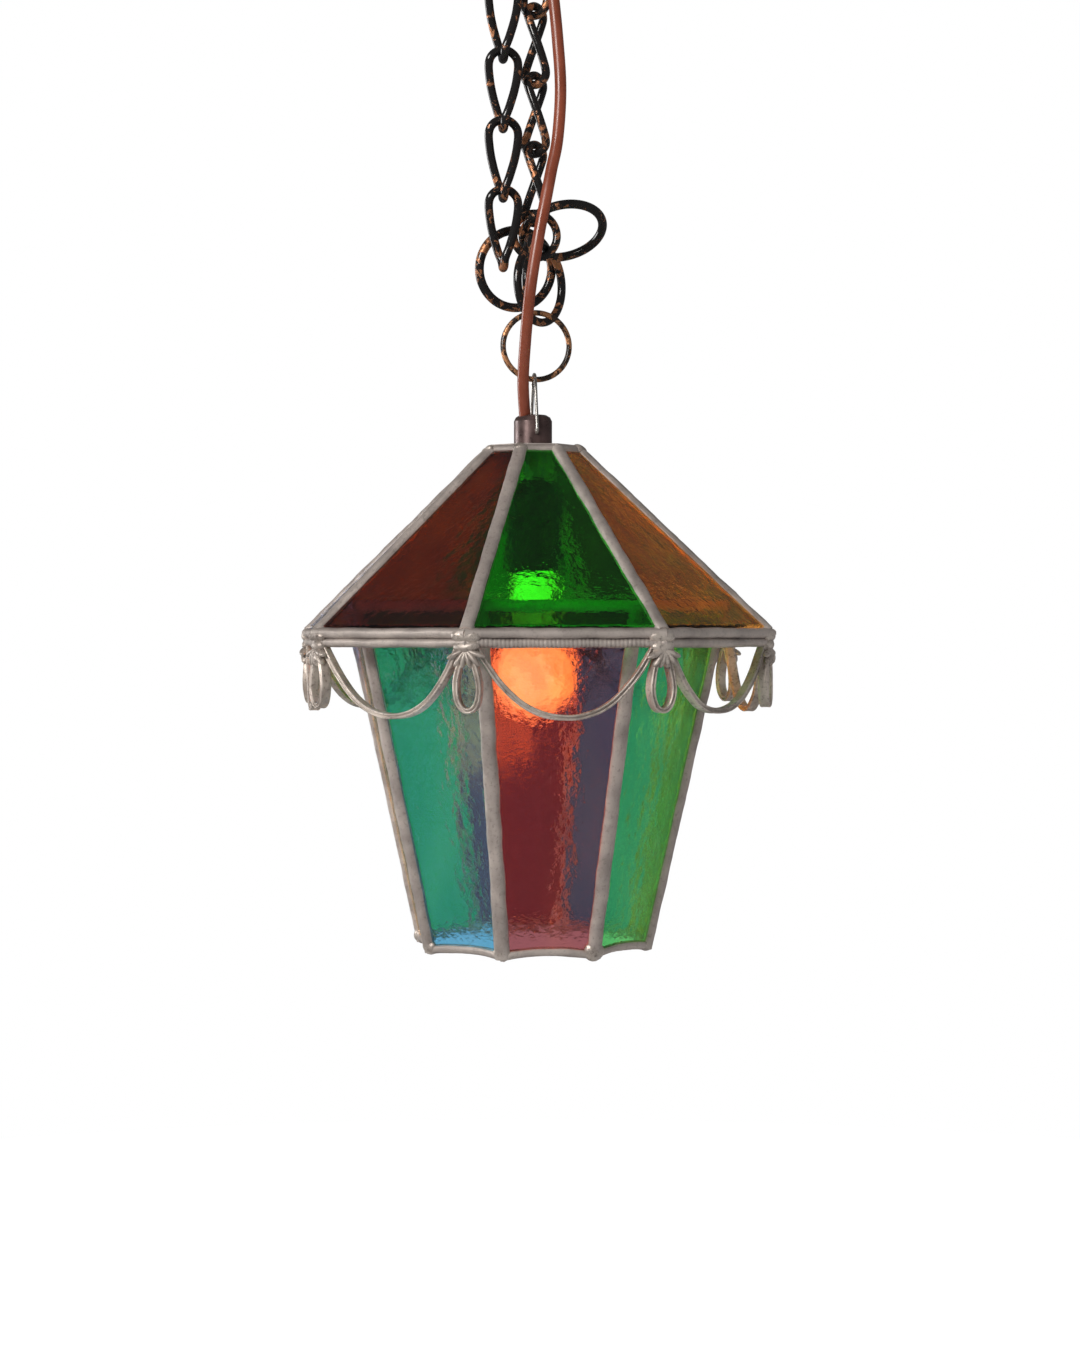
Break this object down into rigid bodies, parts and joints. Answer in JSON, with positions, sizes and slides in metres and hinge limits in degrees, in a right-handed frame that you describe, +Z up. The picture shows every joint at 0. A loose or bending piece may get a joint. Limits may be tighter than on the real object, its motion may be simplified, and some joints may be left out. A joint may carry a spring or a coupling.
{
  "type": "hanging lantern",
  "caption": "Eight-sided leaded stained-glass pendant lantern with a flared roof, scalloped lead festoons and a domed cap, hung from a doubled chain of twisted links and loose rings.",
  "frame": {"origin": "on the lantern's vertical axis, in the plane of its open bottom rim", "axes": "+Z up along the lantern's axis to the hanging ring; -Y faces the front pane, +X to the right of it"},
  "size_m": [0.2286, 0.2286, 0.572],
  "materials": {
    "glass_red": "hammered cathedral glass, deep red",
    "glass_green": "hammered cathedral glass, green",
    "glass_amber": "hammered cathedral glass, amber",
    "glass_blue": "hammered cathedral glass, blue",
    "lead": "dull grey lead came with a warm cast, soft dents",
    "solder": "dull bright tin solder with rounded lumps",
    "cap_metal": "brown patinated metal, satin",
    "plain_steel": "zinc plated steel, satin",
    "hanging_wire": "bright galvanised wire",
    "black_chain": "glossy black paint worn through to copper coloured metal",
    "bronze_ring": "bronze wire with black residue",
    "flex_jacket": "red-brown round flex jacket, satin",
    "lampholder_body": "black moulded lampholder",
    "bulb_glass": "clear warm globe bulb, lit",
    "lamp_cap_metal": "rolled brass screw cap"
  },
  "bodies": {
    "ceiling_ring": {"top_ring": "black_chain"},
    "load_link_1": {"load_link_1": "black_chain"},
    "load_link_2": {"load_link_2": "black_chain"},
    "load_link_3": {"load_link_3": "black_chain"},
    "load_link_4": {"load_link_4": "black_chain"},
    "ring_e": {"ring_e": "black_chain"},
    "ring_d": {"ring_d": "black_chain"},
    "ring_b": {"ring_b": "black_chain"},
    "ring_f": {"ring_f": "black_chain"},
    "ring_c": {"ring_c": "black_chain"},
    "ring_a": {"ring_a": "bronze_ring"},
    "wire_bail": {"wire_bail": "hanging_wire"},
    "lantern": {"roof_pane_1": "glass_green", "roof_pane_2": "glass_amber", "roof_pane_3": "glass_blue", "roof_pane_4": "glass_red", "roof_pane_5": "glass_green", "roof_pane_6": "glass_amber", "roof_pane_7": "glass_blue", "roof_pane_8": "glass_red", "body_pane_1": "glass_red", "body_pane_2": "glass_green", "body_pane_3": "glass_amber", "body_pane_4": "glass_blue", "body_pane_5": "glass_red", "body_pane_6": "glass_green", "body_pane_7": "glass_amber", "body_pane_8": "glass_blue", "roof_hip_cames": "lead", "eave_cames": "lead", "body_corner_cames": "lead", "body_top_cames": "lead", "bottom_rim_cames": "lead", "roof_top_collar": "lead", "top_plate": "lead", "bow_loops": "lead", "festoon_swags": "lead", "eave_solder_joints": "solder", "rim_solder_joints": "solder", "crown_solder_joints": "solder", "domed_cap": "cap_metal", "lock_nut_upper": "plain_steel", "lock_nut_lower": "plain_steel", "threaded_nipple": "plain_steel", "lampholder": "lampholder_body", "flex_cable": "flex_jacket"},
    "bulb": {"bulb_globe": "bulb_glass", "bulb_screw_cap": "lamp_cap_metal"},
    "slack_link_1": {"slack_link_1": "black_chain"},
    "slack_link_2": {"slack_link_2": "black_chain"},
    "slack_link_3": {"slack_link_3": "black_chain"},
    "slack_link_4": {"slack_link_4": "black_chain"},
    "slack_link_5": {"slack_link_5": "black_chain"}
  },
  "joints": [
    {"name": "load_link_1_swing", "type": "hinge", "parent": "ceiling_ring", "child": "load_link_1", "pos_m": [0.0012, 0, 0.50063], "axis": [0.9345, 0.356, 0], "range_deg": [-10, 10], "deforming": ["flex_cable"]},
    {"name": "load_link_2_rock", "type": "hinge", "parent": "load_link_1", "child": "load_link_2", "pos_m": [0.0012, 0, 0.4664], "axis": [-1, 0, 0], "range_deg": [-8, 8], "deforming": ["flex_cable"]},
    {"name": "load_link_3_rock", "type": "hinge", "parent": "load_link_2", "child": "load_link_3", "pos_m": [0.0012, 0, 0.4321], "axis": [1, 0, 0], "range_deg": [-8, 8], "deforming": ["flex_cable"]},
    {"name": "load_link_4_rock", "type": "hinge", "parent": "load_link_3", "child": "load_link_4", "pos_m": [0.0012, 0, 0.3978], "axis": [-1, 0, 0], "range_deg": [-8, 8], "deforming": ["flex_cable"]},
    {"name": "ring_e_rock", "type": "hinge", "parent": "load_link_4", "child": "ring_e", "pos_m": [0.00472, -0.00143, 0.36399], "axis": [1, 0, 0], "range_deg": [-3, 3], "deforming": ["flex_cable"]},
    {"name": "ring_b_rock", "type": "hinge", "parent": "ring_e", "child": "ring_b", "pos_m": [0.00789, 0.00202, 0.3484], "axis": [-1, 0, 0], "range_deg": [-2, 6], "deforming": ["flex_cable"]},
    {"name": "ring_a_swing", "type": "hinge", "parent": "ring_b", "child": "ring_a", "pos_m": [0.00494, 0.00159, 0.31202], "axis": [0.682, 0.7314, 0], "range_deg": [-15, 15], "deforming": ["flex_cable"]},
    {"name": "bail_swing", "type": "hinge", "parent": "ring_a", "child": "wire_bail", "pos_m": [0.0006, 0, 0.28343], "axis": [-1, 0, 0], "range_deg": [-20, 20], "deforming": ["flex_cable"]},
    {"name": "lantern_tilt", "type": "hinge", "parent": "wire_bail", "child": "lantern", "pos_m": [0.0006, 0, 0.256], "axis": [0, 1, 0], "range_deg": [-15, 15], "deforming": ["flex_cable"]},
    {"name": "ring_f_rock", "type": "hinge", "parent": "ring_b", "child": "ring_f", "pos_m": [-0.0014, -0.00376, 0.35116], "axis": [1, 0, 0], "range_deg": [-4, 4]},
    {"name": "ring_d_rock", "type": "hinge", "parent": "ring_e", "child": "ring_d", "pos_m": [-0.00587, -0.00079, 0.36014], "axis": [1, 0, 0], "range_deg": [-2, 2]},
    {"name": "ring_c_rock", "type": "hinge", "parent": "ring_d", "child": "ring_c", "pos_m": [0.00962, 0.01763, 0.34754], "axis": [1, 0, 0], "range_deg": [-1, 4]},
    {"name": "bulb_unscrewing", "type": "hinge", "parent": "lantern", "child": "bulb", "pos_m": [0, 0, 0.2], "axis": [0, 0, -1], "range_deg": [0, 1440]},
    {"name": "slack_link_1_swing", "type": "hinge", "parent": "ceiling_ring", "child": "slack_link_1", "pos_m": [-0.0156, -0.0064, 0.5085], "axis": [0.9345, 0.356, 0], "range_deg": [-10, 10]},
    {"name": "slack_link_2_rock", "type": "hinge", "parent": "slack_link_1", "child": "slack_link_2", "pos_m": [-0.0156, -0.0064, 0.47715], "axis": [-1, 0, 0], "range_deg": [-8, 8]},
    {"name": "slack_link_3_rock", "type": "hinge", "parent": "slack_link_2", "child": "slack_link_3", "pos_m": [-0.0156, -0.0064, 0.44285], "axis": [1, 0, 0], "range_deg": [-8, 8]},
    {"name": "slack_link_4_rock", "type": "hinge", "parent": "slack_link_3", "child": "slack_link_4", "pos_m": [-0.0156, -0.0064, 0.40855], "axis": [-1, 0, 0], "range_deg": [-8, 8]},
    {"name": "slack_link_5_rock", "type": "hinge", "parent": "slack_link_4", "child": "slack_link_5", "pos_m": [-0.0156, -0.0064, 0.37425], "axis": [1, 0, 0], "range_deg": [-3, 3]}
  ],
  "couplings": [
    {"joint": "slack_link_1_swing", "follows": "load_link_1_swing", "ratio": 1},
    {"joint": "slack_link_2_rock", "follows": "load_link_2_rock", "ratio": 1},
    {"joint": "slack_link_3_rock", "follows": "load_link_3_rock", "ratio": 1},
    {"joint": "slack_link_4_rock", "follows": "load_link_4_rock", "ratio": 1},
    {"joint": "slack_link_5_rock", "follows": "ring_e_rock", "ratio": 1}
  ]
}
